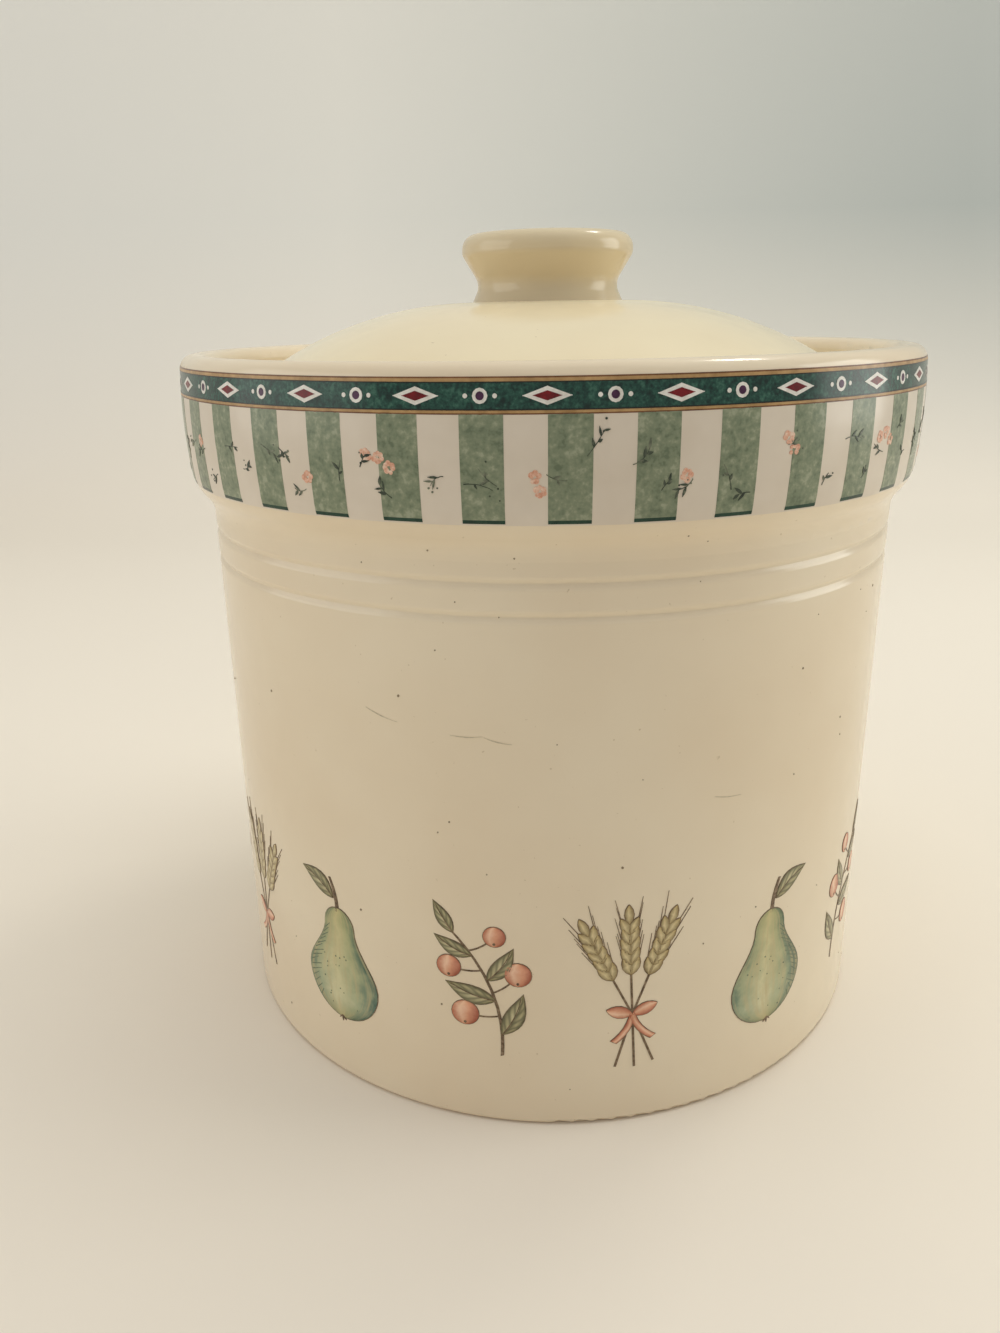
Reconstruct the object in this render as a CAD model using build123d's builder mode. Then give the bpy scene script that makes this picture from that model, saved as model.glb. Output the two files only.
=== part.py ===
import math
import os

from build123d import *

# Stoneware canister: a crock with a collared mouth, and a domed lid that drops inside its rim.
# Millimetres, +Z up, origin on the table under the middle of the crock.

# Crock wall and floor
wall_diameter = 181.4  # outside of the plain wall
wall_thickness = 8.0
floor_thickness = 9.0
floor_round = 9.0  # between floor and wall, inside
foot_width = 9.0  # ring that the crock stands on
foot_recess = 2.0
foot_round = 0.8
base_round = 1.6

# Mouth: a ledge for the lid, stepped out of the wall, and the rim around it
rim_height = 178.0  # table to the crest of the rim
rim_thickness = 7.5
rim_lean = 0.5  # how far the rim draws in from the fullest part of the collar
lip_rise = 3.2  # rounded top of the rim
ledge_width = 5.8
ledge_depth = 18.4  # crest of the rim down to the ledge
ledge_round = 1.0

# Collar: the full outside of the mouth, from the rim down to a crease in the wall
collar_upper = 11.8  # foot of the rounded rim down to the fullest part
collar_lower = 13.0  # fullest part down to where the underside begins
collar_underside = 7.8  # height of the underside, down to the crease
collar_lean = 0.7  # how far the face draws in where the underside begins
collar_undercut = 46.0  # degrees from upright where the underside leaves the wall
crease_round = 7.0
crease_round_share = 0.8  # most of the wall above the first groove that the round may take

# Soft grooves turned in the wall under the collar
groove_count = 2
groove_drop = 7.2  # crease down to the first groove
groove_spacing = 7.1
groove_half_width = 1.5
groove_depth = 0.6

# Lid
lid_clearance = 2.0  # all round, inside the rim
lid_height = 29.5  # underside of the flange up to the knob's seat
lid_thickness = 6.0  # at the crown
lid_edge = 3.9  # thickness of the flange at its edge
lid_edge_round = 1.6
lid_under_round = 0.8
seat_margin = 0.5  # flat round the knob's foot
plug_gap = 3.0  # bore to plug, which the seal bridges
plug_wall = 4.0  # behind the seal's groove
plug_heel = 4.0  # flange down to the seal's groove
plug_toe = 4.0  # seal's groove down to the end of the plug
plug_round = 1.5

# Seal ring in the plug's groove
seal_groove_height = 6.0
seal_groove_depth = 2.0
seal_slip = 0.1  # lets the lid turn inside its seal
seal_clearance = 0.3  # fins to bore
seal_band = 2.5  # thickness of the ring behind its fins
fin_count = 2
fin_gap = 1.0  # between fins, at their roots
fin_tip = 0.8

# Knob, from its seat up
knob_diameter = 44.6
knob_brim_overhang = 4.5  # brim out from the waist
knob_foot_flare = 2.0  # foot out from the waist
knob_foot_height = 4.3
knob_flare_height = 7.3
knob_brim_height = 4.7
knob_crown = 1.3  # rise of the top over its edge
knob_waist_round = 4.2
knob_brim_round = 2.5
knob_edge_round = 3.7
brim_round_share = 0.6  # most of the brim's height that its lower round may take
edge_round_share = 0.8  # most that its upper round may take

# Radii and heights that the pieces share
wall_radius = wall_diameter / 2
bore_radius = wall_radius - wall_thickness
gallery_radius = bore_radius + ledge_width
collar_radius = gallery_radius + rim_thickness
rim_radius = collar_radius - rim_lean
lip_foot = rim_height - lip_rise
fullest_height = lip_foot - collar_upper
underside_height = fullest_height - collar_lower
crease_height = underside_height - collar_underside
ledge_height = rim_height - ledge_depth

lid_radius = gallery_radius - lid_clearance
seat_height = ledge_height + lid_height
plug_radius = bore_radius - plug_gap
seal_groove_radius = plug_radius - seal_groove_depth
seal_groove_top = ledge_height - plug_heel
seal_groove_foot = seal_groove_top - seal_groove_height
plug_bore_radius = seal_groove_radius - plug_wall
plug_bottom = seal_groove_foot - plug_toe

knob_radius = knob_diameter / 2
knob_waist_radius = knob_radius - knob_brim_overhang
knob_foot_radius = knob_waist_radius + knob_foot_flare
waist_height = seat_height + knob_foot_height
brim_height = waist_height + knob_flare_height
knob_edge_height = brim_height + knob_brim_height
knob_top = knob_edge_height + knob_crown


def round_corner(sketch, corner, radius):
    fillet(sketch.vertices().sort_by_distance(corner)[0], radius)


# Crock
with BuildPart() as canister_body:
    with BuildSketch(Plane.XZ) as crock_section:
        foot_edge = (wall_radius - foot_width, 0)
        base_edge = (wall_radius, 0)
        crease = (wall_radius, crease_height)
        undercut = math.radians(collar_undercut)
        crease_room = (groove_drop - groove_half_width) * crease_round_share / math.tan(undercut / 2)
        ledge_back = (gallery_radius, ledge_height)
        ledge_front = (bore_radius, ledge_height)
        floor_edge = (bore_radius, floor_thickness)
        with BuildLine():
            foot = Polyline((0, foot_recess), (wall_radius - foot_width, foot_recess), foot_edge, base_edge)
            wall_top = base_edge
            for i in reversed(range(groove_count)):
                groove_height = crease_height - groove_drop - i * groove_spacing
                groove_foot = (wall_radius, groove_height - groove_half_width)
                groove_bottom = (wall_radius - groove_depth, groove_height)
                groove_top = (wall_radius, groove_height + groove_half_width)
                Line(wall_top, groove_foot)
                Spline(groove_foot, groove_bottom, groove_top, tangents=((0, 1), (0, 1)))
                wall_top = groove_top
            wall = Line(wall_top, crease)
            face = ThreePointArc(
                (collar_radius - collar_lean, underside_height),
                (collar_radius, fullest_height),
                (rim_radius, lip_foot),
            )
            Spline(wall @ 1, face @ 0, tangents=((math.sin(undercut), math.cos(undercut)), face % 0))
            crest = ((rim_radius + gallery_radius) / 2, rim_height)
            lip = ThreePointArc(face @ 1, crest, (gallery_radius, lip_foot))
            inside = Polyline(lip @ 1, ledge_back, ledge_front, floor_edge, (0, floor_thickness))
            Line(inside @ 1, foot @ 0)
        make_face()
        round_corner(crock_section, foot_edge, foot_round)
        round_corner(crock_section, base_edge, base_round)
        round_corner(crock_section, crease, min(crease_round, crease_room))
        round_corner(crock_section, ledge_back, ledge_round)
        round_corner(crock_section, ledge_front, ledge_round)
        round_corner(crock_section, floor_edge, floor_round)
    revolve(axis=Axis.Z)

# Lid: a dome on a flat flange, with a plug wall below that carries the seal
with BuildPart() as lid:
    with BuildSketch(Plane.XZ) as lid_section:
        crown_radius = knob_foot_radius + seat_margin
        ceiling_height = seat_height - lid_thickness
        flange_top = (lid_radius, ledge_height + lid_edge)
        flange_bottom = (lid_radius, ledge_height)
        plug_outside = (plug_radius, plug_bottom)
        plug_inside = (plug_bore_radius, plug_bottom)
        with BuildLine():
            seat = Line((0, seat_height), (crown_radius, seat_height))
            TangentArc(seat @ 1, flange_top, tangent=(1, 0))
            plug = Polyline(
                flange_top,
                flange_bottom,
                (plug_radius, ledge_height),
                (plug_radius, seal_groove_top),
                (seal_groove_radius, seal_groove_top),
                (seal_groove_radius, seal_groove_foot),
                (plug_radius, seal_groove_foot),
                plug_outside,
                plug_inside,
                (plug_bore_radius, ledge_height + lid_edge),
            )
            hollow = TangentArc((crown_radius, ceiling_height), plug @ 1, tangent=(1, 0))
            Polyline(hollow @ 0, (0, ceiling_height), seat @ 0)
        make_face()
        round_corner(lid_section, flange_top, lid_edge_round)
        round_corner(lid_section, flange_bottom, lid_under_round)
        round_corner(lid_section, plug_outside, plug_round)
        round_corner(lid_section, plug_inside, plug_round)
    revolve(axis=Axis.Z)

# Seal: a soft ring whose fins close the gap between plug and bore
with BuildPart() as lid_seal:
    with BuildSketch(Plane.XZ):
        ring_radius = seal_groove_radius + seal_slip
        root_radius = ring_radius + seal_band
        tip_radius = bore_radius - seal_clearance
        ring_foot = seal_groove_foot + seal_slip
        ring_top = seal_groove_top - seal_slip
        fin_pitch = (ring_top - ring_foot) / fin_count
        fin_root = fin_pitch - fin_gap
        outline = [(ring_radius, ring_foot)]
        for i in range(fin_count):
            fin_height = ring_foot + (i + 0.5) * fin_pitch
            outline.append((root_radius, fin_height - fin_root / 2))
            outline.append((tip_radius, fin_height - fin_tip / 2))
            outline.append((tip_radius, fin_height + fin_tip / 2))
            outline.append((root_radius, fin_height + fin_root / 2))
        outline.append((ring_radius, ring_top))
        with BuildLine():
            Polyline(*outline, close=True)
        make_face()
    revolve(axis=Axis.Z)

# Knob: a waisted button luted to the flat on the crown
with BuildPart() as lid_knob:
    with BuildSketch(Plane.XZ) as knob_section:
        waist = (knob_waist_radius, waist_height)
        brim = (knob_radius, brim_height)
        knob_edge = (knob_radius, knob_edge_height)
        with BuildLine():
            side = Polyline((0, seat_height), (knob_foot_radius, seat_height), waist, brim, knob_edge)
            crown = TangentArc((0, knob_top), knob_edge, tangent=(1, 0))
            Line(crown @ 0, side @ 0)
        make_face()
        round_corner(knob_section, waist, min(knob_waist_round, knob_foot_height))
        round_corner(knob_section, brim, min(knob_brim_round, knob_brim_height * brim_round_share))
        round_corner(knob_section, knob_edge, min(knob_edge_round, knob_brim_height * edge_round_share))
    revolve(axis=Axis.Z)

os.makedirs("parts", exist_ok=True)
canister_body.part.label = "canister_body"
lid.part.label = "lid"
lid_seal.part.label = "lid_seal"
lid_knob.part.label = "lid_knob"
export_step(canister_body.part, "parts/canister_body.step")
export_step(lid.part, "parts/lid.step")
export_step(lid_seal.part, "parts/lid_seal.step")
export_step(lid_knob.part, "parts/lid_knob.step")
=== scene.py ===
import bisect
import math
import random

import bpy
from mathutils import Matrix, Vector


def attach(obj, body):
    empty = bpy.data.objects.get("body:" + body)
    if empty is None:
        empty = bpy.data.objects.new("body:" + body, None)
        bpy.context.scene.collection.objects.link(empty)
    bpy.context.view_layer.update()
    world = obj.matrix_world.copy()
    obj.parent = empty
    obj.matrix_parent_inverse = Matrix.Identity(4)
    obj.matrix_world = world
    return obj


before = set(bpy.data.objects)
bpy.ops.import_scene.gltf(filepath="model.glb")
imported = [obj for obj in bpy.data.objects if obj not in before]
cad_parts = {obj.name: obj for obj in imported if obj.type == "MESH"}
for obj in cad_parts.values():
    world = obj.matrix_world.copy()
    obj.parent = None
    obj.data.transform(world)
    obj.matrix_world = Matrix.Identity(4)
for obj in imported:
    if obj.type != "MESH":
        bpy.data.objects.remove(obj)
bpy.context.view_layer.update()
scene = bpy.context.scene
scene.view_settings.view_transform = "Standard"
mm = 0.001
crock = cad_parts["canister_body"]
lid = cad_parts["lid"]
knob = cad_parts["lid_knob"]
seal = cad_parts["lid_seal"]
print("frame loaded:", ", ".join(sorted(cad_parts)))


# Small helpers for colours and shader nodes

def srgb(red, green, blue):  # 0 to 255, turned into linear light
    channels = []
    for value in (red, green, blue):
        share = value / 255
        channels.append(share / 12.92 if share <= 0.04045 else ((share + 0.055) / 1.055) ** 2.4)
    return (*channels, 1.0)


def addNode(tree, kind, inputs=None, **options):
    node = tree.nodes.new("ShaderNode" + kind)
    for option, value in options.items():
        setattr(node, option, value)
    for socket, value in (inputs or {}).items():
        if isinstance(value, bpy.types.NodeSocket):
            tree.links.new(value, node.inputs[socket])
        else:
            node.inputs[socket].default_value = value
    return node


def addMath(tree, operation, *values, clamp=False):
    node = addNode(tree, "Math", dict(enumerate(values)), operation=operation, use_clamp=clamp)
    return node.outputs["Value"]


def addRamp(tree, factor, stops):
    node = addNode(tree, "ValToRGB", {"Fac": factor})
    elements = node.color_ramp.elements
    elements[0].position, elements[0].color = stops[0]
    elements[-1].position, elements[-1].color = stops[-1]
    for position, colour in stops[1:-1]:
        elements.new(position).color = colour
    return node.outputs["Color"]


def mixColours(tree, factor, first, second, blend="MIX"):
    inputs = {0: factor, 6: first, 7: second}  # factor, A and B of a colour mix
    return addNode(tree, "Mix", inputs, data_type="RGBA", blend_type=blend).outputs[2]


def addNoise(tree, place, scale, detail=2.0, rough=0.5):
    inputs = {"Vector": place, "Scale": scale, "Detail": detail, "Roughness": rough}
    return addNode(tree, "TexNoise", inputs).outputs["Fac"]


def stretch(tree, value, low, high, newLow=0.0, newHigh=1.0):
    inputs = {"Value": value, "From Min": low, "From Max": high, "To Min": newLow, "To Max": newHigh}
    return addNode(tree, "MapRange", inputs).outputs["Result"]


def newMaterial(name, roughness):
    material = bpy.data.materials.new(name)
    material.use_nodes = True
    tree = material.node_tree
    shader = tree.nodes["Principled BSDF"]
    shader.inputs["Roughness"].default_value = roughness
    place = addNode(tree, "TexCoord").outputs["Object"]
    return material, tree, shader, place


def backgroundRays(tree):  # 1 for rays that show what lies behind
    path = addNode(tree, "LightPath").outputs
    seen = addMath(tree, "MAXIMUM", path["Is Camera Ray"], path["Is Glossy Ray"])
    return addMath(tree, "MAXIMUM", seen, path["Is Transmission Ray"])


def addBump(tree, shader, height, strength, distance):
    bump = addNode(tree, "Bump", {"Height": height, "Strength": strength, "Distance": distance})
    tree.links.new(bump.outputs["Normal"], shader.inputs["Normal"])


# Glazed stoneware

crockGlaze = {
    "cream": srgb(236, 222, 195),
    "shade": srgb(230, 213, 184),  # slow drifts of the glaze
    "driftScale": 16.0,  # per metre
    "driftDetail": 3.0,
    "driftRange": (0.35, 0.65),
    "freckle": srgb(212, 194, 162),  # faint pinpricks of iron
    "freckleScale": 900.0,
    "freckleDetail": 1.0,
    "freckleRange": (0.775, 0.835),  # higher gives fewer
    "biscuit": srgb(214, 190, 152),  # bare clay of the foot ring
    "biscuitTop": 0.5 * mm,
    "biscuitEdge": 0.4 * mm,
    "rough": (0.12, 0.21),
    "roughScale": 60.0,
    "roughRange": (0.3, 0.7),
    "rippleScale": 130.0,
    "rippleDetail": 1.0,
    "rippleBump": (0.10, 0.6 * mm),  # strength and depth
}
lidGlaze = dict(
    crockGlaze,
    cream=srgb(242, 230, 196),
    shade=srgb(236, 221, 186),
    biscuitTop=-1.0,  # far below, so no bare clay
)
knobShadedGlaze = dict(lidGlaze, cream=srgb(218, 202, 168), shade=srgb(211, 194, 158))  # darker and yellower than the lid: painted shade and painted warm bounce from the dome, over a thinner glaze


def makeGlaze(name, settings):
    material, tree, shader, place = newMaterial(name, settings["rough"][0])
    drift = addNoise(tree, place, settings["driftScale"], settings["driftDetail"])
    drift = stretch(tree, drift, *settings["driftRange"])
    colour = mixColours(tree, drift, settings["shade"], settings["cream"])
    freckle = addNoise(tree, place, settings["freckleScale"], settings["freckleDetail"])
    freckle = stretch(tree, freckle, *settings["freckleRange"])
    colour = mixColours(tree, freckle, colour, settings["freckle"])
    height = addNode(tree, "SeparateXYZ", {"Vector": place}).outputs["Z"]
    biscuitTop = settings["biscuitTop"]
    bare = stretch(tree, height, biscuitTop + settings["biscuitEdge"], biscuitTop)
    colour = mixColours(tree, bare, colour, settings["biscuit"])
    tree.links.new(colour, shader.inputs["Base Color"])
    gloss = addNoise(tree, place, settings["roughScale"])
    gloss = stretch(tree, gloss, *settings["roughRange"], *settings["rough"])
    tree.links.new(addMath(tree, "ADD", gloss, bare, clamp=True), shader.inputs["Roughness"])
    ripple = addNoise(tree, place, settings["rippleScale"], settings["rippleDetail"])
    addBump(tree, shader, ripple, *settings["rippleBump"])
    return material


def setMaterial(piece, material):
    piece.data.materials.clear()
    piece.data.materials.append(material)


setMaterial(crock, makeGlaze("crockGlaze", crockGlaze))
setMaterial(lid, makeGlaze("lidGlaze", lidGlaze))
setMaterial(knob, makeGlaze("knobShadedGlaze", knobShadedGlaze))
print("glazes made")


# Soft seal under the lid

sealSilicone = {
    "milk": srgb(226, 222, 212),
    "cloud": srgb(213, 207, 194),
    "cloudScale": 55.0,  # per metre
    "cloudRange": (0.35, 0.65),
    "rough": 0.52,
    "glow": 0.15,  # share of the light that passes below its skin
    "glowReach": 2 * mm,
    "grainScale": 1500.0,
    "grainDetail": 1.0,
    "grainBump": (0.15, 0.05 * mm),  # strength and depth
}


def makeSilicone(name, settings):
    material, tree, shader, place = newMaterial(name, settings["rough"])
    cloud = addNoise(tree, place, settings["cloudScale"])
    cloud = stretch(tree, cloud, *settings["cloudRange"])
    colour = mixColours(tree, cloud, settings["cloud"], settings["milk"])
    tree.links.new(colour, shader.inputs["Base Color"])
    shader.inputs["Subsurface Weight"].default_value = settings["glow"]
    shader.inputs["Subsurface Radius"].default_value = (settings["glowReach"],) * 3
    grain = addNoise(tree, place, settings["grainScale"], settings["grainDetail"])
    addBump(tree, shader, grain, *settings["grainBump"])
    return material


setMaterial(seal, makeSilicone("sealSilicone", sealSilicone))
print("seal finished")


# Transfers: thin closed shells fired onto the glaze, in places given as angle and height

def outsideRings(node):
    facing = 0.1  # least share of a normal that points away from the axis
    digits = 6  # heights to the micrometre
    rings = {}
    for vertex in node.data.vertices:
        radius = math.hypot(vertex.co.x, vertex.co.y)
        outward = vertex.normal.x * vertex.co.x + vertex.normal.y * vertex.co.y
        if outward > facing * radius > 0:
            height = round(vertex.co.z, digits)
            rings[height] = max(radius, rings.get(height, 0))
    return sorted(rings.items())


crockRings = outsideRings(crock)
ringHeights = [height for height, radius in crockRings]


def radiusAt(height):
    above = min(max(bisect.bisect(ringHeights, height), 1), len(crockRings) - 1)
    (lowHeight, lowRadius), (highHeight, highRadius) = crockRings[above - 1], crockRings[above]
    share = (height - lowHeight) / (highHeight - lowHeight)
    return lowRadius + (highRadius - lowRadius) * min(max(share, 0), 1)


def onCrock(angle, height, depth):  # angle 0 is the front, growing to the right
    radius = radiusAt(height) + depth
    return (radius * math.sin(angle), -radius * math.cos(angle), height)


transfer = {
    "sink": 0.10 * mm,  # how deep the back of a shell lies in the glaze
    "ground": 0.04 * mm,  # how proud the layers stand
    "under": 0.08 * mm,
    "over": 0.13 * mm,
    "top": 0.18 * mm,
    "least": 0.05,  # mm, half the width that a pointed stroke ends with
    "sharp": 40.0,  # degrees, from which an edge shades as an edge
    "specular": 0.3,  # colours fired on shine less than the glaze
    "bump": (0.1, 0.05 * mm),  # strength and depth
}


def newArt():
    return {"points": [], "faces": [], "brush": []}


def addSheet(art, sheet, lift, closed=False):
    rows, columns = len(sheet), len(sheet[0])
    lastRow, lastColumn = rows - 1, columns - 1
    first = len(art["points"])
    faces = art["faces"]
    for depth in (lift, -transfer["sink"]):
        for i, row in enumerate(sheet):
            for j, (angle, height) in enumerate(row):
                art["points"].append(onCrock(angle, height, depth))
                art["brush"].append((i / lastRow, j / lastColumn, 0.0))

    def outer(i, j):
        return first + i * columns + j % columns

    def inner(i, j):
        return first + (rows + i) * columns + j % columns

    for j in range(columns if closed else lastColumn):
        for i in range(lastRow):
            faces.append((outer(i, j), outer(i, j + 1), outer(i + 1, j + 1), outer(i + 1, j)))
            faces.append((inner(i, j), inner(i + 1, j), inner(i + 1, j + 1), inner(i, j + 1)))
        for i, a, b in ((0, j + 1, j), (lastRow, j, j + 1)):  # walls at the first and the last row
            faces.append((outer(i, a), outer(i, b), inner(i, b), inner(i, a)))
    if closed:
        return
    for i in range(lastRow):
        for j, a, b in ((0, i, i + 1), (lastColumn, i + 1, i)):  # walls at both sides
            faces.append((outer(a, j), outer(b, j), inner(b, j), inner(a, j)))


def spread(low, high, steps):
    return [low + (high - low) * i / steps for i in range(steps + 1)]


def addRing(art, low, high, lift, rows=2, segments=240):
    angles = [2 * math.pi * j / segments for j in range(segments)]
    sheet = [[(angle, height * mm) for angle in angles] for height in spread(low, high, rows)]
    addSheet(art, sheet, lift, closed=True)


def addPanel(art, fromAngle, toAngle, low, high, lift, rows, columns):
    angles = spread(math.radians(fromAngle), math.radians(toAngle), columns)
    addSheet(art, [[(angle, height * mm) for angle in angles] for height in spread(low, high, rows)], lift)


def makePiece(art, name, material):
    mesh = bpy.data.meshes.new(name)
    mesh.from_pydata(art["points"], [], art["faces"])
    brush = mesh.attributes.new("brush", "FLOAT_VECTOR", "POINT")
    brush.data.foreach_set("vector", [value for point in art["brush"] for value in point])
    mesh.shade_smooth()
    mesh.set_sharp_from_angle(angle=math.radians(transfer["sharp"]))
    mesh.materials.append(material)
    piece = bpy.data.objects.new(name, mesh)
    scene.collection.objects.link(piece)
    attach(piece, "crock")


# Brush strokes, in mm from a spot on the crock

def newSpot(angle, height, flip=1, tilt=0.0):  # degrees, mm, -1 for a mirrored motif, radians
    return math.radians(angle), height, flip, tilt


def onSpot(spot, x, y):
    angle, height, flip, tilt = spot
    across = flip * (x * math.cos(tilt) + y * math.sin(tilt))
    up = y * math.cos(tilt) - x * math.sin(tilt)
    return angle + across * mm / radiusAt(height * mm), (height + up) * mm


# Each shape gives the share of a stroke's width at t, from 0 at its start to 1 at its end

def leafShape(t):
    skew = 0.8  # under 1 puts the widest place nearer the root
    return math.sin(math.pi * t ** skew)


def roundShape(t):
    return math.sqrt(max(0.0, 1 - (2 * t - 1) ** 2))


def lozengeShape(t):
    return 1 - abs(2 * t - 1)


def stalkShape(t):
    taper = 0.45
    return 1 - taper * t


def evenShape(t):
    return 1.0


def grainShape(t):
    plump = 0.7  # under 1 gives fuller ends
    return math.sin(math.pi * t) ** plump


def pearShape(t):  # a bulb, a waist and a narrow shoulder
    bulb, neck, slim = 0.35, 0.84, 0.42
    if t < bulb:
        return math.sqrt(max(0.0, 1 - ((bulb - t) / bulb) ** 2))
    if t > neck:
        return slim * math.sqrt(max(0.0, 1 - ((t - neck) / (1 - neck)) ** 2))
    share = (t - bulb) / (neck - bulb)
    return 1 + (slim - 1) * share * share * (3 - 2 * share)


def along(start, end, share, bow=0.0, aside=0.0):  # a place on a bowed line, or to the right of it
    (x0, y0), (x1, y1) = start, end
    length = math.hypot(x1 - x0, y1 - y0)
    sideways = bow * 4 * share * (1 - share) + aside
    return (
        x0 + (x1 - x0) * share + (y1 - y0) / length * sideways,
        y0 + (y1 - y0) * share - (x1 - x0) / length * sideways,
    )


def towards(root, lean, length):
    return (root[0] + math.sin(lean) * length, root[1] + math.cos(lean) * length)


def addStroke(art, spot, start, end, width, shape, lift, bow=0.0, rows=8, columns=2):
    sheet = []
    for i in range(rows + 1):
        t = (1 - math.cos(math.pi * i / rows)) / 2  # rows crowd at the ends, where outlines turn
        half = max(width / 2 * shape(t), transfer["least"])
        row = [onSpot(spot, *along(start, end, t, bow, aside)) for aside in spread(-half, half, columns)]
        sheet.append(row if spot[2] > 0 else row[::-1])
    addSheet(art, sheet, lift)


def addOutlined(art, ink, spot, start, end, width, shape, line, **more):
    extra = line / math.dist(start, end)
    lineStart, lineEnd = along(start, end, -extra), along(start, end, 1 + extra)
    addStroke(ink, spot, lineStart, lineEnd, width + 2 * line, shape, transfer["under"], **more)
    addStroke(art, spot, start, end, width, shape, transfer["over"], **more)


def addDot(art, spot, place, size, lift, rows=6):
    x, y = place
    addStroke(art, spot, (x, y - size / 2), (x, y + size / 2), size, roundShape, lift, rows=rows, columns=3)


# Paints

wash = {
    "fineness": 3.1,  # fine clouds against broad ones
    "detail": (3.0, 2.0),  # of the broad and the fine clouds
    "grit": 0.6,
    "range": (0.66, 1.34),
    "ends": (0.12, 0.88),  # places of the first and the last tone
}
brushwork = {
    "detail": 3.0,
    "grit": 0.6,
    "poolRange": (0.3, 0.7),
    "streakShift": 60.0,  # per metre, so that no two strokes streak alike
    "streakRange": (0.45, 0.72),
    "veinRange": (-0.6, 1.0),
}


def makeMottled(name, settings):  # a wash that clouds from tone to tone
    material, tree, shader, place = newMaterial(name, settings["rough"])
    shader.inputs["Specular IOR Level"].default_value = transfer["specular"]
    broadDetail, fineDetail = wash["detail"]
    broad = addNoise(tree, place, settings["scale"], broadDetail, wash["grit"])
    fine = addNoise(tree, place, settings["scale"] * wash["fineness"], fineDetail, wash["grit"])
    clouds = stretch(tree, addMath(tree, "ADD", broad, fine), *wash["range"])
    tones = settings["tones"]
    stops = list(zip(spread(*wash["ends"], len(tones) - 1), tones))
    tree.links.new(addRamp(tree, clouds, stops), shader.inputs["Base Color"])
    addBump(tree, shader, broad, *transfer["bump"])
    return material


def makeBrushed(name, settings):  # a stroke with pooled edges, a pale middle, streaks and veins
    material, tree, shader, place = newMaterial(name, settings["rough"])
    shader.inputs["Specular IOR Level"].default_value = transfer["specular"]
    brush = addNode(tree, "Attribute", attribute_name="brush").outputs["Vector"]
    parts = addNode(tree, "SeparateXYZ", {"Vector": brush})
    length, across = parts.outputs["X"], parts.outputs["Y"]
    detail, grit = brushwork["detail"], brushwork["grit"]
    pool = addNoise(tree, place, settings["scale"], detail, grit)
    drift = stretch(tree, pool, *brushwork["poolRange"], -settings["drift"], settings["drift"])
    colour = addRamp(tree, addMath(tree, "ADD", across, drift, clamp=True), settings["across"])
    colour = mixColours(tree, 1.0, colour, addRamp(tree, length, settings["along"]), "MULTIPLY")
    if "streak" in settings:
        inputs = {0: place, "Scale": brushwork["streakShift"]}
        shift = addNode(tree, "VectorMath", inputs, operation="SCALE").outputs["Vector"]
        inputs = {0: brush, 1: settings["streaks"], 2: shift}
        lines = addNode(tree, "VectorMath", inputs, operation="MULTIPLY_ADD").outputs["Vector"]
        streaks = addNoise(tree, lines, 1.0, detail, grit)
        share = stretch(tree, streaks, *brushwork["streakRange"], 0.0, settings["streakShare"])
        colour = mixColours(tree, share, colour, settings["streak"])
    if "vein" in settings:
        middle = addMath(tree, "MULTIPLY_ADD", across, 2.0, -1.0)  # 0 on the middle line
        offMid = addMath(tree, "ABSOLUTE", middle)
        phase = addMath(tree, "MULTIPLY_ADD", offMid, -settings["veinSlant"], length)
        wave = addMath(tree, "SINE", addMath(tree, "MULTIPLY", phase, 2 * math.pi * settings["veins"]))
        share = stretch(tree, wave, *brushwork["veinRange"], 0.0, settings["veinShare"])
        colour = mixColours(tree, share, colour, settings["vein"])
    tree.links.new(colour, shader.inputs["Base Color"])
    addBump(tree, shader, pool, *transfer["bump"])
    return material


# Collar: teal band between fine lines, sage stripes on a pale ground below it

collarLines = {  # heights in mm
    "ground": (147.6, 168.7),
    "band": (169.5, 174.4),
    "dark": ((169.36, 169.6), (174.32, 174.52)),
    "gold": ((168.85, 169.38), (174.5, 175.15)),
    "brown": ((168.6, 168.87), (175.13, 175.42)),
}
groundPaint = {"tones": [srgb(218, 206, 188), srgb(224, 213, 196)], "scale": 40.0, "rough": 0.17}
bandPaint = {
    "tones": [srgb(8, 38, 34), srgb(18, 58, 51), srgb(34, 78, 67), srgb(58, 101, 86)],
    "scale": 420.0,
    "rough": 0.2,
}
darkPaint = {"tones": [srgb(16, 22, 18), srgb(30, 36, 30)], "scale": 300.0, "rough": 0.22}
goldPaint = {"tones": [srgb(164, 128, 82), srgb(194, 158, 108)], "scale": 160.0, "rough": 0.25}
brownPaint = {"tones": [srgb(96, 62, 40), srgb(128, 86, 56)], "scale": 160.0, "rough": 0.25}


def makeCollarLines():
    ground, band = newArt(), newArt()
    addRing(ground, *collarLines["ground"], transfer["ground"], rows=16)
    addRing(band, *collarLines["band"], transfer["under"], rows=4)
    makePiece(ground, "collar_ground", makeMottled("groundPaint", groundPaint))
    makePiece(band, "collar_band", makeMottled("bandPaint", bandPaint))
    for name, settings in (("dark", darkPaint), ("gold", goldPaint), ("brown", brownPaint)):
        art = newArt()
        for low, high in collarLines[name]:
            addRing(art, low, high, transfer["over"] if name == "dark" else transfer["under"])
        makePiece(art, "collar_lines_" + name, makeMottled(name + "Paint", settings))


collarStripes = {
    "count": 36,
    "from": 0.05,  # degrees, from the start of each step
    "to": 5.1,
    "foot": 147.95,  # mm
    "lineTop": 148.7,
    "top": 168.65,
}
stripePaint = {
    "tones": [srgb(104, 116, 93), srgb(122, 133, 108), srgb(135, 144, 118), srgb(157, 163, 138)],
    "scale": 270.0,
    "rough": 0.22,
}
endPaint = {"tones": [srgb(22, 52, 40), srgb(36, 70, 54)], "scale": 260.0, "rough": 0.22}


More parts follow.
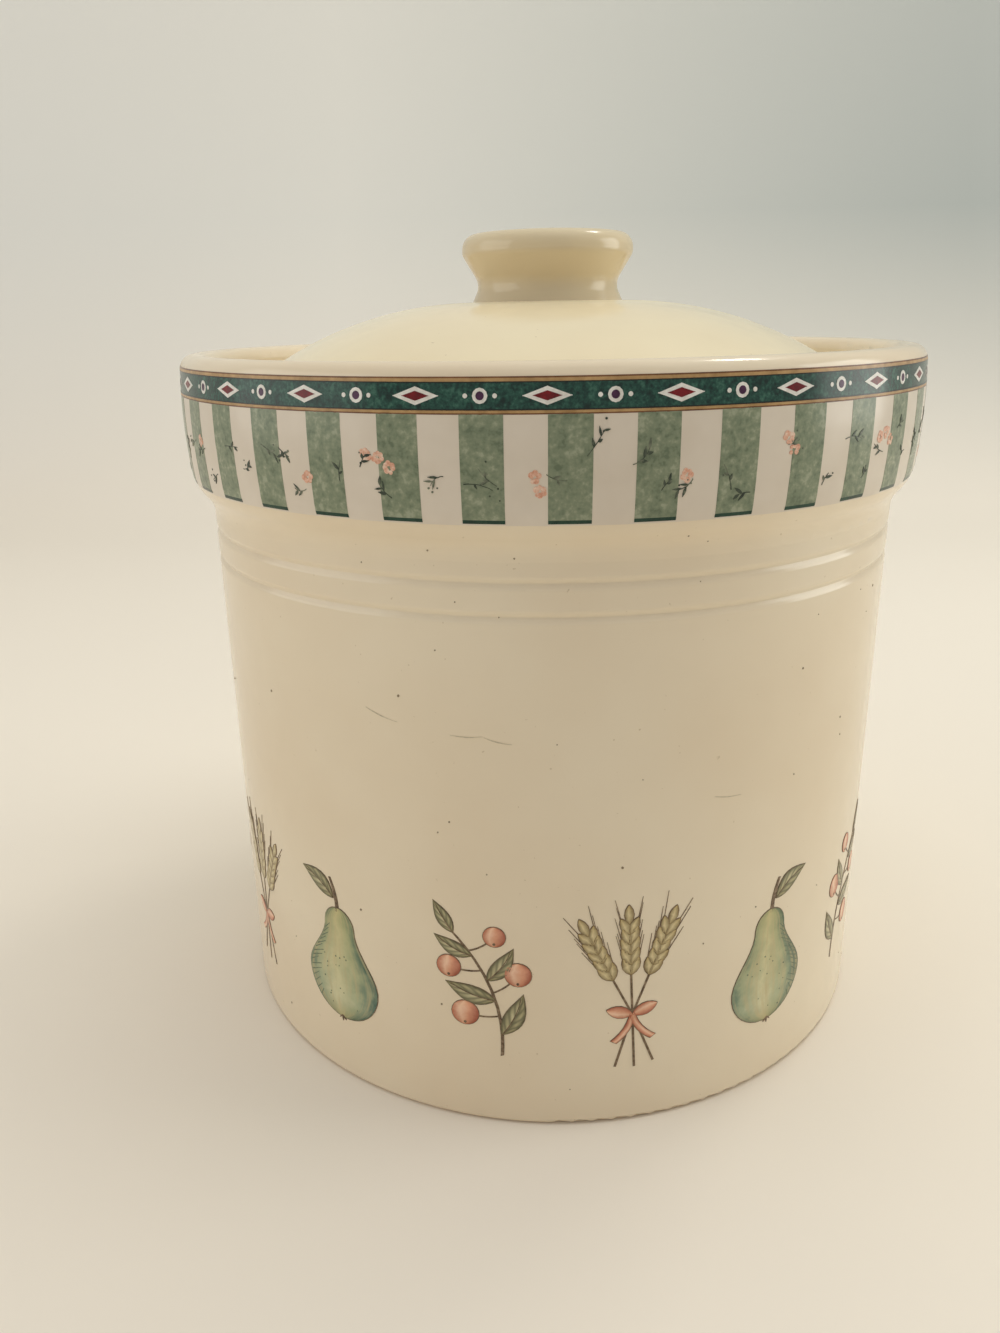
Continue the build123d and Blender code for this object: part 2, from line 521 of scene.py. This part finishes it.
def makeStripes():
    stripes, ends = newArt(), newArt()
    step = 360 / collarStripes["count"]
    foot, lineTop, top = collarStripes["foot"], collarStripes["lineTop"], collarStripes["top"]
    for i in range(collarStripes["count"]):
        left, right = i * step + collarStripes["from"], i * step + collarStripes["to"]
        addPanel(stripes, left, right, lineTop, top, transfer["under"], rows=14, columns=5)
        addPanel(ends, left, right, foot, lineTop, transfer["under"], rows=2, columns=5)
    makePiece(stripes, "collar_stripes", makeMottled("stripePaint", stripePaint))
    makePiece(ends, "collar_stripe_ends", makeMottled("endPaint", endPaint))


# Ornament on the band: lozenges and beads in turn

bandOrnament = {
    "count": 24,
    "height": 172.0,  # mm
    "lift": 0.02 * mm,  # more than the other layers, to stand clear of the band
    "lozenge": (9.2, 3.4),  # mm, long and tall
    "heart": (5.4, 1.8),
    "bead": 2.9,
    "beadHeart": 1.6,
    "sideBead": 0.9,
    "sideStep": 2.8,
}
creamPaint = {"tones": [srgb(221, 217, 207), srgb(240, 238, 231)], "scale": 300.0, "rough": 0.22}
maroonPaint = {"tones": [srgb(90, 2, 14), srgb(126, 12, 24)], "scale": 300.0, "rough": 0.22}
plumPaint = {"tones": [srgb(54, 22, 52), srgb(82, 42, 78)], "scale": 300.0, "rough": 0.22}


def makeBandOrnament():
    cream, maroon, plum = newArt(), newArt(), newArt()
    step = 360 / bandOrnament["count"]
    over, top = transfer["over"] + bandOrnament["lift"], transfer["top"] + bandOrnament["lift"]
    for i in range(bandOrnament["count"]):
        spot = newSpot(i * step, bandOrnament["height"])
        for art, key, lift in ((cream, "lozenge", over), (maroon, "heart", top)):
            long, tall = bandOrnament[key]
            addStroke(art, spot, (-long / 2, 0), (long / 2, 0), tall, lozengeShape, lift)
        spot = newSpot((i + 0.5) * step, bandOrnament["height"])  # halfway to the next lozenge
        addDot(cream, spot, (0, 0), bandOrnament["bead"], over)
        addDot(plum, spot, (0, 0), bandOrnament["beadHeart"], top)
        for side in (-1, 1):
            addDot(cream, spot, (side * bandOrnament["sideStep"], 0), bandOrnament["sideBead"], over)
    makePiece(cream, "band_beads_cream", makeMottled("creamPaint", creamPaint))
    makePiece(maroon, "band_hearts_maroon", makeMottled("maroonPaint", maroonPaint))
    makePiece(plum, "band_hearts_plum", makeMottled("plumPaint", plumPaint))


makeCollarLines()
makeStripes()
makeBandOrnament()
print("collar painted")


# Little sprigs and buds strewn over the stripes, in mm and radians

collarSprigs = {
    "seed": 11,
    "count": 84,
    "jitter": 0.35,  # of the step from one to the next
    "heights": (152.0, 162.0),
    "turn": 2.2,  # most that a sprig leans from upright
    "stem": (2.6, 6.0),  # shortest and longest
    "stemWidth": 0.19,
    "bow": 0.6,  # most to either side
    "leaf": (2.0, 0.66),  # long and wide
    "leaves": (2, 4),  # fewest and most
    "firstLeaf": 0.35,  # places on the stem
    "leafStep": 0.2,
    "leafLean": 0.8,
    "leafLeans": (0.6, 1.2),  # times the lean, length and width, at random
    "leafLengths": (0.5, 1.1),
    "leafWidths": (0.6, 1.1),
    "seeds": (0, 3),
    "seedSize": (0.28, 0.5),
    "seedAside": 2.0,
    "seedAlong": (0.2, 1.3),  # times the stem
}
collarBuds = {
    "count": 21,
    "jitter": 0.3,
    "heights": (153.5, 165.0),
    "buds": (1, 3),  # fewest and most in a bunch
    "spacing": 2.9,
    "turn": 2.1,  # from bud to bud
    "turnMore": 1.0,
    "petals": (5, 7),
    "petal": 1.15,
    "petalSizes": (0.7, 1.15),  # times the petal
    "petalSway": 0.3,
    "reach": 0.85,  # middle of a bud to its petals
    "reaches": (0.75, 1.2),
}
sprigPaint = {
    "tones": [srgb(38, 48, 40), srgb(70, 80, 66), srgb(136, 140, 118)],
    "scale": 140.0,
    "rough": 0.25,
}
budPaint = {
    "tones": [srgb(206, 144, 118), srgb(226, 178, 152), srgb(236, 210, 188)],
    "scale": 520.0,
    "rough": 0.25,
}


def either(most, rng):
    return rng.uniform(-most, most)


def addSprig(art, spot, rng):
    tip = (0.0, rng.uniform(*collarSprigs["stem"]))
    bow = either(collarSprigs["bow"], rng)
    width = collarSprigs["stemWidth"]
    addStroke(art, spot, (0, 0), tip, width, stalkShape, transfer["over"], bow=bow, rows=4)
    leafLong, leafWide = collarSprigs["leaf"]
    for k in range(rng.randint(*collarSprigs["leaves"])):  # on either side, some of them short
        root = along((0, 0), tip, collarSprigs["firstLeaf"] + collarSprigs["leafStep"] * k, bow)
        side = 1 if k % 2 else -1
        lean = side * collarSprigs["leafLean"] * rng.uniform(*collarSprigs["leafLeans"])
        end = towards(root, lean, leafLong * rng.uniform(*collarSprigs["leafLengths"]))
        wide = leafWide * rng.uniform(*collarSprigs["leafWidths"])
        addStroke(art, spot, root, end, wide, leafShape, transfer["top"], rows=5)
    for k in range(rng.randint(*collarSprigs["seeds"])):
        aside = either(collarSprigs["seedAside"], rng)
        place = (aside, tip[1] * rng.uniform(*collarSprigs["seedAlong"]))
        addDot(art, spot, place, rng.uniform(*collarSprigs["seedSize"]), transfer["over"], rows=4)


def addBuds(art, spot, rng):
    for k in range(rng.randint(*collarBuds["buds"])):
        aim = k * collarBuds["turn"] + rng.uniform(0, collarBuds["turnMore"])
        middle = towards((0, 0), aim, collarBuds["spacing"] if k else 0.0)
        petals = rng.randint(*collarBuds["petals"])
        for petal in range(petals):
            lean = 2 * math.pi * petal / petals + either(collarBuds["petalSway"], rng)
            place = towards(middle, lean, collarBuds["reach"] * rng.uniform(*collarBuds["reaches"]))
            size = collarBuds["petal"] * rng.uniform(*collarBuds["petalSizes"])
            addDot(art, spot, place, size, transfer["over"], rows=5)


def makeSprigs():
    rng = random.Random(collarSprigs["seed"])
    sprigs, buds = newArt(), newArt()
    for i in range(collarSprigs["count"]):
        angle = (i + either(collarSprigs["jitter"], rng)) * 360 / collarSprigs["count"]
        height = rng.uniform(*collarSprigs["heights"])
        turn = rng.uniform(-1, 1) * collarSprigs["turn"]
        addSprig(sprigs, newSpot(angle, height, rng.choice((-1, 1)), turn), rng)
    for i in range(collarBuds["count"]):
        angle = (i + either(collarBuds["jitter"], rng)) * 360 / collarBuds["count"]
        addBuds(buds, newSpot(angle, rng.uniform(*collarBuds["heights"])), rng)
    makePiece(sprigs, "collar_sprigs", makeMottled("sprigPaint", sprigPaint))
    makePiece(buds, "collar_buds", makeMottled("budPaint", budPaint))


makeSprigs()
print("sprigs painted")


# Frieze on the lower wall: pears, berry twigs and tied wheat in turn, in mm and radians

frieze = {
    "seed": 3,
    "count": 15,
    "firstAngle": -35.0,  # degrees
    "pearFoot": 18.0,  # above the foot of the crock
    "wheatFoot": 16.0,
    "twigFoot": 20.0,
    "tilt": 0.07,  # most that a motif leans
}
leafMotif = {
    "line": 0.16,
    "rib": 0.3,
    "ribLength": 0.9,  # of the leaf
    "ribBow": 0.9,  # of the leaf's bow
}
pearMotif = {
    "size": (23.5, 32.0),
    "line": 0.2,
    "stem": ((0.4, 31.0), (2.6, 40.0)),
    "stemWidth": 1.2,
    "stemBow": -0.6,
    "leaf": ((1.6, 34.5), (12.5, 39.5)),
    "leafWidth": 5.0,
    "leafBow": -1.1,
    "hatches": 15,  # short strokes up the shaded side
    "hatchFrom": 0.10,  # shares of the height
    "hatchSpan": 0.72,
    "hatchRise": 0.06,
    "hatchStart": 0.95,  # shares of the half width there
    "hatchEnds": (0.62, 0.78),
    "hatchWidth": 0.3,
    "dots": 16,
    "dotHeights": (0.08, 0.6),
    "dotAsides": (-0.75, 0.6),
    "dotSizes": (0.25, 0.5),
    "tips": (-0.9, 0.0, 0.9),  # leans of the flower's dry tips
    "tipRoot": (0, 0.6),
    "tipCentre": (0, 0.3),
    "tipLength": 1.5,
    "tipWidth": 0.5,
}
wheatMotif = {
    "line": 0.17,
    "tie": 15.0,  # height of the ribbon
    "leans": (-0.40, 0.0, 0.40),
    "footLean": 0.8,  # of the lean above the tie
    "stalkWidths": (0.6, 0.55),  # below and above the tie
    "earStart": 11.0,  # from the tie
    "pairs": 5,
    "pairStep": 2.7,
    "grain": (5.0, 2.2),  # long and wide
    "grainLean": 0.42,
    "grainLeans": (0.85, 1.15),  # times the lean and length, at random
    "grainLengths": (0.92, 1.06),
    "awn": 6.0,
    "awnWidth": 0.22,
    "awnLean": 0.22,
    "awnLengths": (0.7, 1.1),
    "loop": (6.4, 3.2),  # long and wide
    "loopLean": 1.25,
    "tail": (8.6, 1.5),
    "tailLean": 2.55,
    "tailBow": 0.9,
}
twigMotif = {
    "line": 0.17,
    "stem": ((-6.5, 0.0), (6.5, 33.0)),
    "stemWidth": 0.9,
    "bow": -4.0,
    "leaves": (  # place on the stem, side, length
        (0.16, -1, 12.5),
        (0.42, 1, 12.5),
        (0.58, -1, 11.0),
        (0.78, 1, 10.0),
        (0.97, 0.2, 9.0),
    ),
    "leafLeans": (0.75, 0.95),
    "leafWidth": 0.38,  # of its length
    "leafBow": 0.7,
    "berries": (  # place on the stem, side, size
        (0.30, 1, 6.6),
        (0.48, -1, 6.2),
        (0.66, 1, 5.8),
        (0.82, -1, 5.2),
    ),
    "berryLeans": (1.15, 1.35),
    "stalk": 5.0,
    "stalkWidth": 0.4,
    "stalkBow": 0.6,
    "eye": 0.7,
    "eyeRise": 0.7,
}
inkPaint = {
    "tones": [srgb(84, 66, 50), srgb(118, 98, 76), srgb(150, 130, 104)],
    "scale": 500.0,
    "rough": 0.25,
}
hatchPaint = {"tones": [srgb(96, 110, 88), srgb(128, 138, 112)], "scale": 500.0, "rough": 0.25}
pearPaint = {
    "across": [
        (0.0, srgb(118, 138, 116)),
        (0.12, srgb(164, 174, 142)),
        (0.42, srgb(214, 209, 168)),
        (0.70, srgb(178, 184, 146)),
        (0.90, srgb(128, 146, 122)),
        (1.0, srgb(86, 112, 98)),
    ],
    "along": [(0.0, srgb(206, 196, 166)), (0.28, srgb(255, 255, 255)), (1.0, srgb(232, 226, 196))],
    "streak": srgb(196, 180, 136),
    "streaks": (2.5, 17.0, 1.0),
    "streakShare": 0.75,
    "scale": 190.0,
    "drift": 0.10,
    "rough": 0.22,
}
grainPaint = {
    "across": [(0.0, srgb(136, 118, 84)), (0.45, srgb(222, 206, 160)), (1.0, srgb(158, 140, 102))],
    "along": [(0.0, srgb(176, 160, 132)), (0.5, srgb(255, 255, 255)), (1.0, srgb(214, 198, 164))],
    "scale": 420.0,
    "drift": 0.14,
    "rough": 0.22,
}
leafPaint = {
    "across": [
        (0.0, srgb(104, 98, 74)),
        (0.22, srgb(178, 172, 134)),
        (0.46, srgb(212, 202, 162)),
        (0.54, srgb(122, 118, 90)),
        (0.80, srgb(188, 180, 138)),
        (1.0, srgb(96, 92, 70)),
    ],
    "along": [(0.0, srgb(196, 188, 164)), (0.5, srgb(255, 255, 255)), (1.0, srgb(180, 172, 144))],
    "vein": srgb(108, 106, 80),
    "veins": 6.5,
    "veinSlant": 0.22,
    "veinShare": 0.72,
    "scale": 380.0,
    "drift": 0.05,
    "rough": 0.22,
}
berryPaint = {
    "across": [
        (0.0, srgb(198, 128, 100)),
        (0.34, srgb(244, 206, 176)),
        (0.62, srgb(228, 168, 136)),
        (1.0, srgb(176, 104, 82)),
    ],
    "along": [(0.0, srgb(216, 186, 168)), (0.6, srgb(255, 255, 255)), (1.0, srgb(255, 246, 236))],
    "scale": 300.0,
    "drift": 0.12,
    "rough": 0.22,
}


def addLeaf(arts, spot, root, end, width, bow):
    leaf, ink, line = arts["leaf"], arts["ink"], leafMotif["line"]
    addOutlined(leaf, ink, spot, root, end, width, leafShape, line, bow=bow, rows=12, columns=8)
    ribEnd, ribBow = along(root, end, leafMotif["ribLength"]), bow * leafMotif["ribBow"]
    addStroke(ink, spot, root, ribEnd, leafMotif["rib"], stalkShape, transfer["top"], bow=ribBow)


def onPear(aside, t):  # shares of the half width and of the height
    width, height = pearMotif["size"]
    return (aside * width / 2 * pearShape(t), height * t)


def addPear(arts, spot, rng):
    pear, ink, hatch = arts["pear"], arts["ink"], arts["hatch"]
    width, height = pearMotif["size"]
    stemWidth, stemBow = pearMotif["stemWidth"], pearMotif["stemBow"]
    line, top = pearMotif["line"], transfer["top"]
    addStroke(ink, spot, *pearMotif["stem"], stemWidth, stalkShape, transfer["over"], bow=stemBow)
    addLeaf(arts, spot, *pearMotif["leaf"], pearMotif["leafWidth"], pearMotif["leafBow"])
    addOutlined(pear, ink, spot, (0, 0), (0, height), width, pearShape, line, rows=24, columns=14)
    for k in range(pearMotif["hatches"]):
        t = pearMotif["hatchFrom"] + pearMotif["hatchSpan"] * k / pearMotif["hatches"]
        start = onPear(pearMotif["hatchStart"], t)
        end = onPear(rng.uniform(*pearMotif["hatchEnds"]), t + pearMotif["hatchRise"])
        addStroke(hatch, spot, start, end, pearMotif["hatchWidth"], stalkShape, top, rows=3)
    for k in range(pearMotif["dots"]):
        t, aside = rng.uniform(*pearMotif["dotHeights"]), rng.uniform(*pearMotif["dotAsides"])
        addDot(hatch, spot, onPear(aside, t), rng.uniform(*pearMotif["dotSizes"]), top, rows=4)
    for lean in pearMotif["tips"]:
        tip = towards(pearMotif["tipCentre"], math.pi - lean, pearMotif["tipLength"])
        addStroke(ink, spot, pearMotif["tipRoot"], tip, pearMotif["tipWidth"], leafShape, top)


def addWheat(arts, spot, rng):
    ink, grain, ribbon = arts["ink"], arts["grain"], arts["berry"]
    line, under = wheatMotif["line"], transfer["under"]
    tie = (0.0, wheatMotif["tie"])
    long, wide = wheatMotif["grain"]
    lowWidth, highWidth = wheatMotif["stalkWidths"]
    awnWidth = wheatMotif["awnWidth"]
    for lean in wheatMotif["leans"]:
        foot = towards(tie, math.pi + lean * wheatMotif["footLean"], wheatMotif["tie"])
        ear = towards(tie, lean, wheatMotif["earStart"])
        addStroke(ink, spot, foot, tie, lowWidth, evenShape, under)
        addStroke(ink, spot, tie, ear, highWidth, evenShape, under)
        for k in range(wheatMotif["pairs"]):
            root = towards(ear, lean, k * wheatMotif["pairStep"])
            for side in (-1, 1):
                aim = lean + side * wheatMotif["grainLean"] * rng.uniform(*wheatMotif["grainLeans"])
                end = towards(root, aim, long * rng.uniform(*wheatMotif["grainLengths"]))
                awn = wheatMotif["awn"] * rng.uniform(*wheatMotif["awnLengths"])
                awnEnd = towards(end, lean + side * wheatMotif["awnLean"], awn)
                addOutlined(grain, ink, spot, root, end, wide, grainShape, line, rows=6)
                addStroke(ink, spot, end, awnEnd, awnWidth, stalkShape, under, rows=4)
        root = towards(ear, lean, wheatMotif["pairs"] * wheatMotif["pairStep"])
        addOutlined(grain, ink, spot, root, towards(root, lean, long), wide, grainShape, line, rows=6)
    loopLong, loopWide = wheatMotif["loop"]
    tailLong, tailWide = wheatMotif["tail"]
    for side in (-1, 1):  # the bow and its tails
        loop = towards(tie, side * wheatMotif["loopLean"], loopLong)
        tail = towards(tie, side * wheatMotif["tailLean"], tailLong)
        bow = side * wheatMotif["tailBow"]
        addOutlined(ribbon, ink, spot, tie, tail, tailWide, evenShape, line, bow=bow)
        addOutlined(ribbon, ink, spot, tie, loop, loopWide, grainShape, line)


def addTwig(arts, spot, rng):
    ink, berry = arts["ink"], arts["berry"]
    line, under = twigMotif["line"], transfer["under"]
    start, end = twigMotif["stem"]
    bow, stalkWidth = twigMotif["bow"], twigMotif["stalkWidth"]
    addStroke(ink, spot, start, end, twigMotif["stemWidth"], stalkShape, under, bow=bow, rows=12)
    aim = math.atan2(end[0] - start[0], end[1] - start[1])
    for share, side, long in twigMotif["leaves"]:
        root = along(start, end, share, bow)
        leafEnd = towards(root, aim + side * rng.uniform(*twigMotif["leafLeans"]), long)
        addLeaf(arts, spot, root, leafEnd, long * twigMotif["leafWidth"], side * twigMotif["leafBow"])
    for share, side, size in twigMotif["berries"]:
        root = along(start, end, share, bow)
        lean = aim + side * rng.uniform(*twigMotif["berryLeans"])
        x, y = towards(root, lean, twigMotif["stalk"] + size / 2)
        stalkBow = side * twigMotif["stalkBow"]
        addStroke(ink, spot, root, (x, y), stalkWidth, evenShape, under, bow=stalkBow)
        foot, head = (x, y - size / 2), (x, y + size / 2)
        addOutlined(berry, ink, spot, foot, head, size, roundShape, line, rows=10, columns=8)
        eyePlace = (x, foot[1] + twigMotif["eyeRise"])
        addDot(ink, spot, eyePlace, twigMotif["eye"], transfer["top"])


def makeFrieze():
    rng = random.Random(frieze["seed"])
    paints = {"pear": pearPaint, "grain": grainPaint, "leaf": leafPaint, "berry": berryPaint}
    arts = {name: newArt() for name in ("ink", "hatch", *paints)}
    motifs = ((addPear, "pearFoot"), (addTwig, "twigFoot"), (addWheat, "wheatFoot"))
    for i in range(frieze["count"]):
        addMotif, foot = motifs[i % len(motifs)]
        angle = frieze["firstAngle"] + i * 360 / frieze["count"]
        flip = 1 if i // len(motifs) % 2 else -1  # each round of motifs mirrors the last
        tilt = rng.uniform(-1, 1) * frieze["tilt"]
        addMotif(arts, newSpot(angle, frieze[foot], flip, tilt), rng)
    makePiece(arts["ink"], "frieze_lines", makeMottled("inkPaint", inkPaint))
    makePiece(arts["hatch"], "frieze_hatching", makeMottled("hatchPaint", hatchPaint))
    for name, settings in paints.items():
        makePiece(arts[name], "frieze_" + name, makeBrushed(name + "Paint", settings))


makeFrieze()
print("frieze painted")


# Iron specks in the glaze, and grey lines that metal spoons have left on it

ironSpecks = {
    "seed": 5,
    "count": 85,
    "heights": (4.0, 146.0),  # mm
    "sizes": (0.25, 0.65),
    "smallness": 2,  # higher gives more of the small ones
}
spoonMarks = {
    "width": 0.25,  # mm
    "bow": 0.3,
    "lines": (  # angle in degrees and height in mm, at both ends
        ((-26.1, 105.2), (-21.1, 102.9)),
        ((-13.3, 101.4), (-8.8, 101.6)),
        ((-8.6, 101.4), (-4.8, 100.1)),
        ((24.0, 84.5), (28.5, 83.6)),
        ((96.0, 92.0), (103.0, 89.5)),
        ((171.0, 118.0), (177.5, 117.2)),
        ((238.0, 76.0), (243.0, 79.0)),
    ),
}
speckPaint = {"tones": [srgb(112, 96, 74), srgb(154, 136, 108)], "scale": 600.0, "rough": 0.3}
markPaint = {"tones": [srgb(186, 173, 148), srgb(214, 200, 172)], "scale": 420.0, "rough": 0.3}


def makeSpecks():
    rng = random.Random(ironSpecks["seed"])
    specks, marks = newArt(), newArt()
    small, large = ironSpecks["sizes"]
    for i in range(ironSpecks["count"]):
        spot = newSpot(rng.uniform(0, 360), rng.uniform(*ironSpecks["heights"]))
        size = small + (large - small) * rng.random() ** ironSpecks["smallness"]
        addDot(specks, spot, (0, 0), size, transfer["under"], rows=4)
    width, bow = spoonMarks["width"], spoonMarks["bow"]
    for start, end in spoonMarks["lines"]:
        across = math.radians(end[0] - start[0]) * radiusAt(start[1] * mm) / mm
        tip = (across, end[1] - start[1])
        addStroke(marks, newSpot(*start), (0, 0), tip, width, leafShape, transfer["ground"], bow=bow)
    makePiece(specks, "crock_specks", makeMottled("speckPaint", speckPaint))
    makePiece(marks, "crock_spoon_marks", makeMottled("markPaint", markPaint))


makeSpecks()
print("specks and marks added")


# Stage: one pale sweep for floor and backdrop, which fades into a pale distance

stage = {
    "front": -3.0,  # m
    "back": 1.1,
    "halfWidth": 3.0,
    "bend": 0.5,
    "bendSteps": 16,
    "height": 2.8,
    "floor": srgb(244, 236, 222),
    "backdropLeft": srgb(225, 224, 216),
    "backdropRight": srgb(150, 160, 157),
    "leftToRight": (-0.25, 0.5),  # m
    "floorToBackdrop": (0.01, 0.30),
    "distance": srgb(226, 222, 211),
    "fade": (0.9, 2.0),  # m from the crock
    "rough": 0.75,
    "specular": 0.2,  # matt paper
}


def makeSweep():
    back, bend = stage["back"], stage["bend"]
    line = [(stage["front"], 0.0)]
    for turn in spread(0.0, math.pi / 2, stage["bendSteps"]):
        line.append((back - bend * (1 - math.sin(turn)), bend * (1 - math.cos(turn))))
    line.append((back, stage["height"]))
    points = [(side * stage["halfWidth"], y, z) for y, z in line for side in (-1, 1)]
    faces = [(2 * i, 2 * i + 1, 2 * i + 3, 2 * i + 2) for i in range(len(line) - 1)]
    mesh = bpy.data.meshes.new("sweep")
    mesh.from_pydata(points, [], faces)
    mesh.shade_smooth()
    material, tree, shader, place = newMaterial("sweepPaper", stage["rough"])
    shader.inputs["Specular IOR Level"].default_value = stage["specular"]
    parts = addNode(tree, "SeparateXYZ", {"Vector": place})
    sideways = stretch(tree, parts.outputs["X"], *stage["leftToRight"])
    backdrop = mixColours(tree, sideways, stage["backdropLeft"], stage["backdropRight"])
    upwards = stretch(tree, parts.outputs["Z"], *stage["floorToBackdrop"])
    tree.links.new(mixColours(tree, upwards, stage["floor"], backdrop), shader.inputs["Base Color"])
    away = addNode(tree, "VectorMath", {0: place}, operation="LENGTH").outputs["Value"]
    faded = addMath(tree, "MULTIPLY", stretch(tree, away, *stage["fade"]), backgroundRays(tree))
    distance = addNode(tree, "Emission", {"Color": stage["distance"]}).outputs["Emission"]
    inputs = {0: faded, 1: shader.outputs["BSDF"], 2: distance}
    mixed = addNode(tree, "MixShader", inputs).outputs["Shader"]
    tree.links.new(mixed, tree.nodes["Material Output"].inputs["Surface"])
    mesh.materials.append(material)
    sweep = bpy.data.objects.new("sweep", mesh)
    scene.collection.objects.link(sweep)


# Light: soft from above and from both sides, with a small lamp behind

lights = {
    "overhead": {"place": (0.15, 0.10, 1.24), "size": (1.1, 1.1), "watts": 6.7, "colour": (1.0, 0.99, 0.93)},
    "lamp": {"place": (0.58, 0.50, 1.28), "size": (0.28, 0.15), "watts": 2.0, "colour": (1.0, 0.96, 0.88)},
    "right": {"place": (1.3, 0.08, 0.45), "size": (0.7, 0.9), "watts": 5.6, "colour": (0.98, 0.99, 0.93)},
    "left": {"place": (-1.15, -0.30, 0.45), "size": (1.1, 0.9), "watts": 3.8, "colour": (1.0, 0.99, 0.94)},
}
room = {"colour": (1.0, 0.98, 0.99), "strength": 0.375, "aim": (0, 0, 0.11)}


def makeLights():
    for name, settings in lights.items():
        data = bpy.data.lights.new(name, "AREA")
        data.shape = "RECTANGLE"
        data.size, data.size_y = settings["size"]
        data.energy = settings["watts"]
        data.color = settings["colour"]
        lamp = bpy.data.objects.new(name, data)
        lamp.location = settings["place"]
        aim = Vector(room["aim"]) - Vector(settings["place"])
        lamp.rotation_euler = aim.to_track_quat("-Z", "Y").to_euler()
        lamp.visible_glossy = name != "overhead"  # no white square on the dome
        scene.collection.objects.link(lamp)
    world = bpy.data.worlds.new("room")
    world.use_nodes = True
    tree = world.node_tree
    light = (*(room["strength"] * channel for channel in room["colour"]), 1.0)
    colour = mixColours(tree, backgroundRays(tree), light, stage["distance"])
    tree.links.new(colour, tree.nodes["Background"].inputs["Color"])
    scene.world = world


# Camera, where the photograph was taken from

photoView = {
    "place": (0.0, -0.28912, 0.18633),  # m
    "turn": 2.832,  # degrees to the left
    "dip": 19.052,  # degrees below level
    "roll": -0.994,
    "lens": 27.62,  # mm
    "sensor": 36.0,
    "nearest": 0.01,  # m
}


def makeCamera():
    data = bpy.data.cameras.new("photoCamera")
    data.sensor_width = photoView["sensor"]
    data.lens = photoView["lens"]
    data.clip_start = photoView["nearest"]
    camera = bpy.data.objects.new("photoCamera", data)
    scene.collection.objects.link(camera)
    camera.matrix_world = (
        Matrix.Translation(photoView["place"])
        @ Matrix.Rotation(math.radians(photoView["turn"]), 4, "Z")
        @ Matrix.Rotation(math.radians(90 - photoView["dip"]), 4, "X")
        @ Matrix.Rotation(math.radians(photoView["roll"]), 4, "Z")
    )
    scene.camera = camera


makeSweep()
makeLights()
makeCamera()
print("stage, light and camera set")
